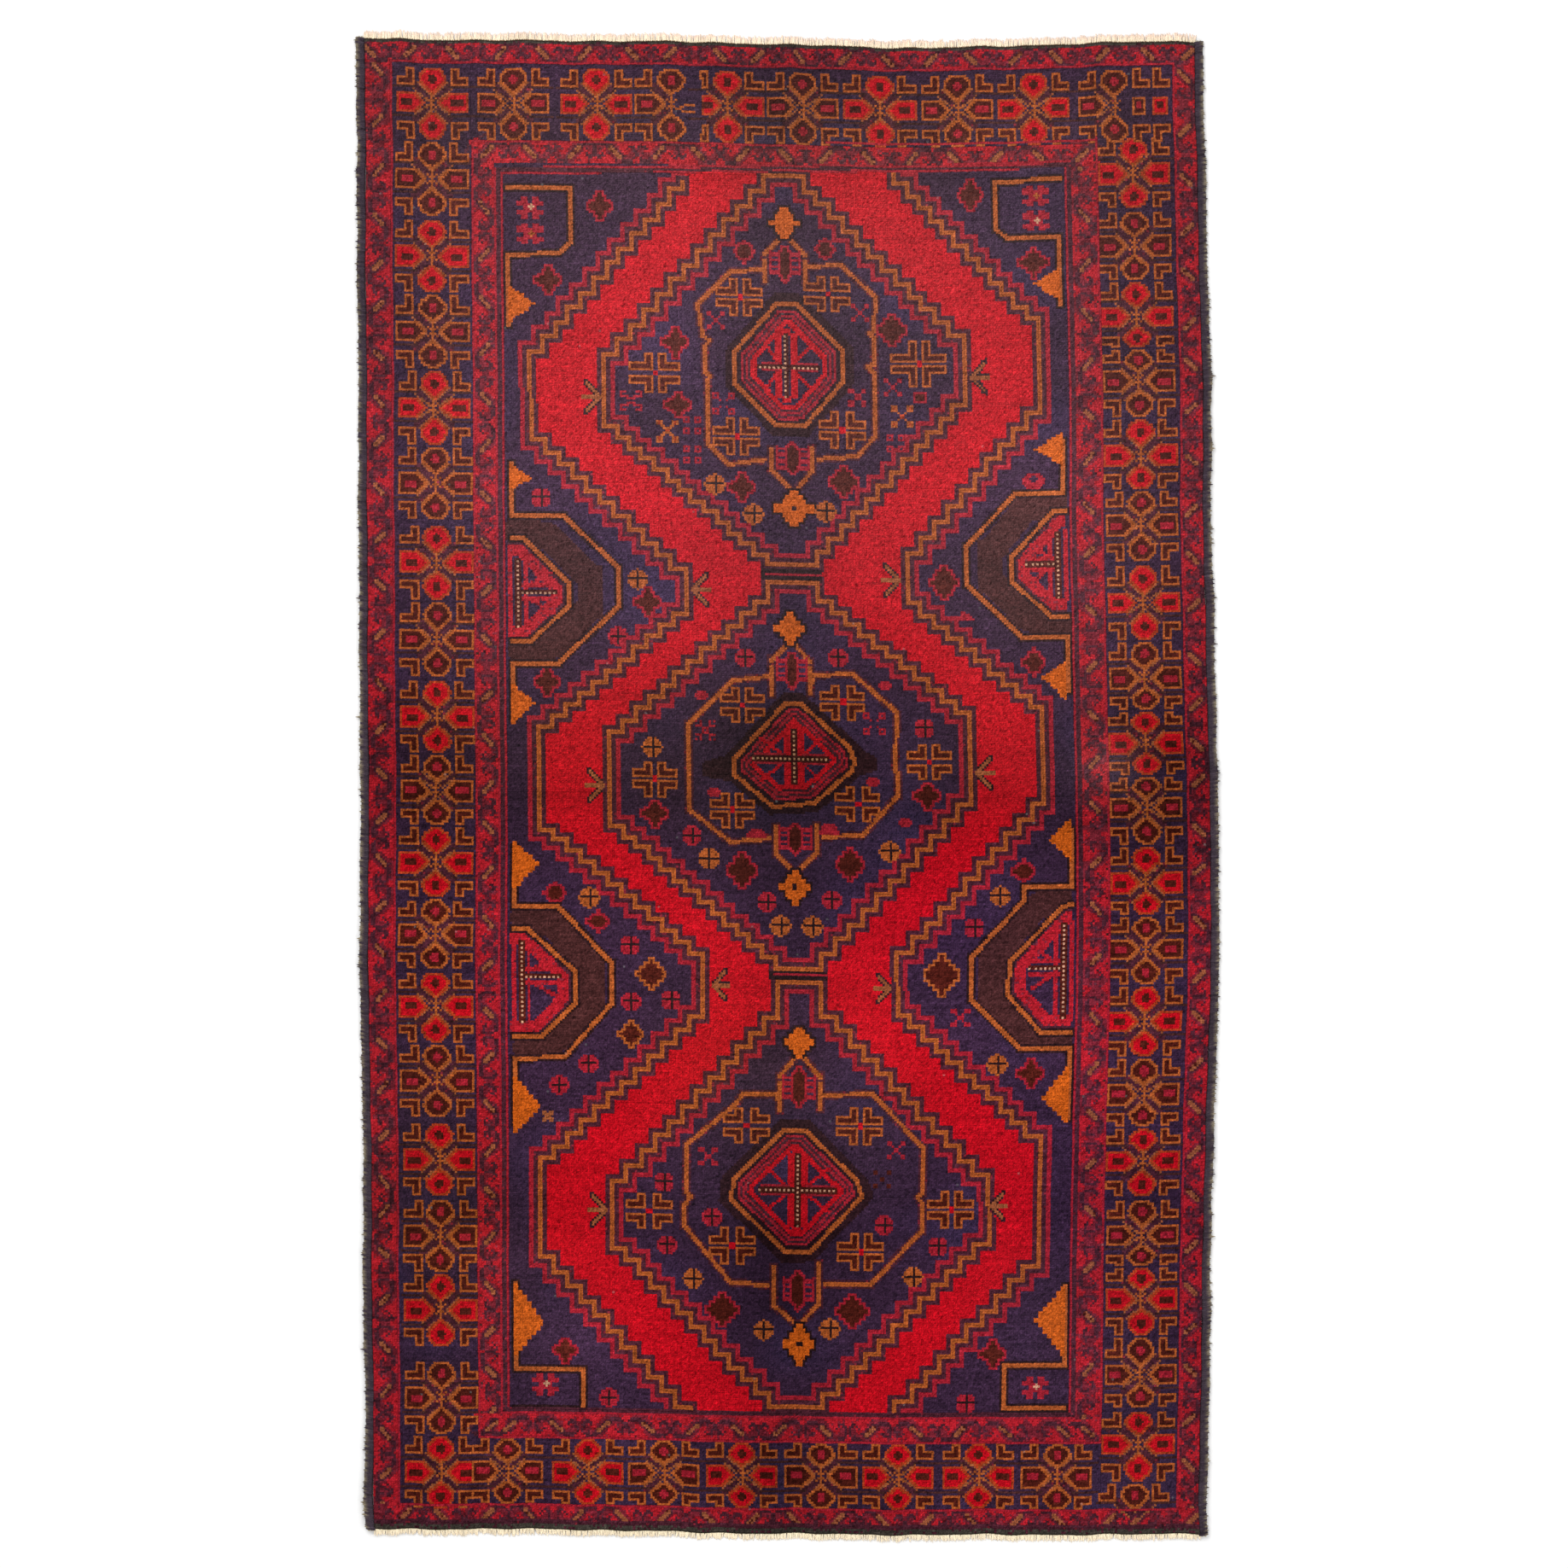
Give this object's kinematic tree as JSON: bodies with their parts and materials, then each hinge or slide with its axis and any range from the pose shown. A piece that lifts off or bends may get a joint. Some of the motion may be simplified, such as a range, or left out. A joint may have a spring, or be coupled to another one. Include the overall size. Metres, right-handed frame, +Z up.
{
  "type": "area rug",
  "caption": "Hand-knotted tribal wool rug, rectangular, lying flat with its pile up: medallion column on a zigzag ribbon, geometric borders, overcast sides and short end fringes.",
  "frame": {"origin": "middle of the underside, on the floor", "axes": "+Y along the length towards the head end, +X across the width, +Z up out of the pile"},
  "size_m": [1.095, 1.9448, 0.009],
  "materials": {
    "foundation": "flat woven wool, ivory warps with brown wefts",
    "guard_pile": "cut wool pile, soft sheen, crimson with dark blue",
    "border_pile": "cut wool pile, soft sheen, dark blue with red, brown and gold",
    "ribbon_pile": "cut wool pile, soft sheen, madder red",
    "ground_pile": "cut wool pile, soft sheen, midnight blue",
    "goat_hair": "overcast goat hair, coarse",
    "warp_wool": "undyed ivory wool yarn",
    "dark_weft": "flat woven dark wool"
  },
  "bodies": {
    "root": {"end_twining_foot": "dark_weft", "end_twining_head": "dark_weft", "end_weave_foot": "dark_weft", "end_weave_head": "dark_weft", "fringe_foot": "warp_wool", "fringe_head": "warp_wool", "ground_weave": "foundation", "pile_ground_left": "ground_pile", "pile_ground_right": "ground_pile", "pile_inner_guard_foot": "guard_pile", "pile_inner_guard_head": "guard_pile", "pile_inner_guard_left": "guard_pile", "pile_inner_guard_right": "guard_pile", "pile_main_border_foot": "border_pile", "pile_main_border_head": "border_pile", "pile_main_border_left": "border_pile", "pile_main_border_right": "border_pile", "pile_medallion_centre": "ground_pile", "pile_medallion_foot": "ground_pile", "pile_medallion_head": "ground_pile", "pile_outer_guard_foot": "guard_pile", "pile_outer_guard_head": "guard_pile", "pile_outer_guard_left": "guard_pile", "pile_outer_guard_right": "guard_pile", "pile_ribbon_left": "ribbon_pile", "pile_ribbon_right": "ribbon_pile", "selvedge_cords_left": "warp_wool", "selvedge_cords_right": "warp_wool", "selvedge_wrap_left": "goat_hair", "selvedge_wrap_right": "goat_hair"}
  },
  "joints": []
}
